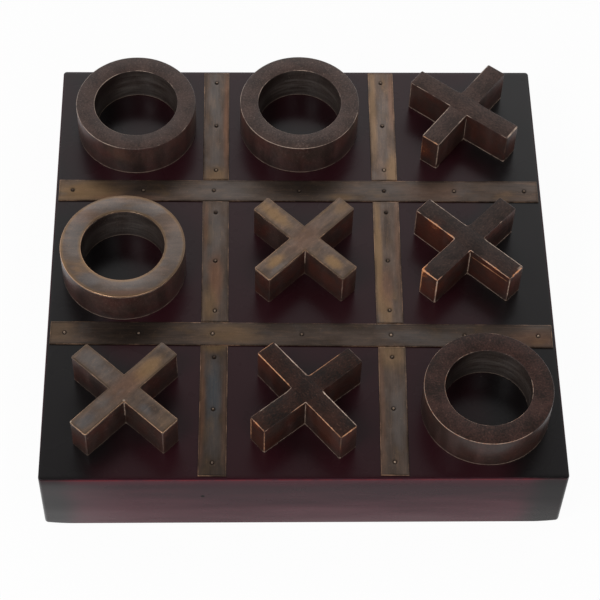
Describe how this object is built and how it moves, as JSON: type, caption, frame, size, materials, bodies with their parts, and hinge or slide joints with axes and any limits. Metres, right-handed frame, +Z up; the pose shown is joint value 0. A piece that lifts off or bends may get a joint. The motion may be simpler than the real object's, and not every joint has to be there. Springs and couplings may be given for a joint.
{
  "type": "tic-tac-toe board",
  "caption": "Thick square dark wooden game board, divided into squares by nailed brown metal strips, with loose wooden rings and crosses standing on it.",
  "frame": {"origin": "middle of the board in plan, on the plane that its felt pads stand on", "axes": "+Z up, +X to the right and -Y towards the player, as the picture shows the board"},
  "size_m": [0.3556, 0.3556, 0.092],
  "materials": {
    "board_lacquer": "dark burgundy-black lacquer with a satin sheen",
    "inner_wood": "bare planed wood",
    "steel": "bright zinc plated steel",
    "felt": "black felt",
    "strip_brass": "brushed sheet with a brown patina",
    "nail_brass": "dark browned round heads",
    "sheet_brass": "brushed sheet with a brown and golden patina",
    "piece_wood": "dark brown paint rubbed through to copper-coloured wood at the edges"
  },
  "bodies": {
    "board": {"top_panel": "board_lacquer", "front_rail": "board_lacquer", "back_rail": "board_lacquer", "left_rail": "board_lacquer", "right_rail": "board_lacquer", "base_panel": "inner_wood", "corner_block_front_left": "inner_wood", "corner_block_front_right": "inner_wood", "corner_block_back_left": "inner_wood", "corner_block_back_right": "inner_wood", "rib_left": "inner_wood", "rib_right": "inner_wood", "rib_pins": "steel", "base_screws": "steel", "felt_pads": "felt", "row_strip_back": "strip_brass", "row_strip_front": "strip_brass", "column_strip_left_front": "strip_brass", "column_strip_left_middle": "strip_brass", "column_strip_left_back": "strip_brass", "column_strip_right_front": "strip_brass", "column_strip_right_middle": "strip_brass", "column_strip_right_back": "strip_brass", "strip_nails": "nail_brass"},
    "o_back_left": {"o_back_left_ring": "piece_wood"},
    "o_back_centre": {"o_back_centre_ring": "piece_wood"},
    "o_middle_left": {"o_middle_left_ring": "piece_wood", "o_middle_left_sheet": "sheet_brass"},
    "o_front_right": {"o_front_right_ring": "piece_wood"},
    "x_back_right": {"x_back_right_lower_bar": "piece_wood", "x_back_right_upper_bar": "piece_wood"},
    "x_centre": {"x_centre_lower_bar": "piece_wood", "x_centre_upper_bar": "piece_wood", "x_centre_sheet": "sheet_brass"},
    "x_middle_right": {"x_middle_right_lower_bar": "piece_wood", "x_middle_right_upper_bar": "piece_wood"},
    "x_front_left": {"x_front_left_lower_bar": "piece_wood", "x_front_left_upper_bar": "piece_wood", "x_front_left_sheet": "sheet_brass"},
    "x_front_centre": {"x_front_centre_lower_bar": "piece_wood", "x_front_centre_upper_bar": "piece_wood"}
  },
  "joints": [
    {"name": "lift_o_back_left", "type": "slide", "parent": "board", "child": "o_back_left", "axis": [0, 0, 1], "range_m": [0, 0.06]},
    {"name": "lift_o_back_centre", "type": "slide", "parent": "board", "child": "o_back_centre", "axis": [0, 0, 1], "range_m": [0, 0.06]},
    {"name": "lift_o_middle_left", "type": "slide", "parent": "board", "child": "o_middle_left", "axis": [0, 0, 1], "range_m": [0, 0.06]},
    {"name": "lift_o_front_right", "type": "slide", "parent": "board", "child": "o_front_right", "axis": [0, 0, 1], "range_m": [0, 0.06]},
    {"name": "lift_x_back_right", "type": "slide", "parent": "board", "child": "x_back_right", "axis": [0, 0, 1], "range_m": [0, 0.06]},
    {"name": "lift_x_centre", "type": "slide", "parent": "board", "child": "x_centre", "axis": [0, 0, 1], "range_m": [0, 0.06]},
    {"name": "lift_x_middle_right", "type": "slide", "parent": "board", "child": "x_middle_right", "axis": [0, 0, 1], "range_m": [0, 0.06]},
    {"name": "lift_x_front_left", "type": "slide", "parent": "board", "child": "x_front_left", "axis": [0, 0, 1], "range_m": [0, 0.06]},
    {"name": "lift_x_front_centre", "type": "slide", "parent": "board", "child": "x_front_centre", "axis": [0, 0, 1], "range_m": [0, 0.06]}
  ]
}
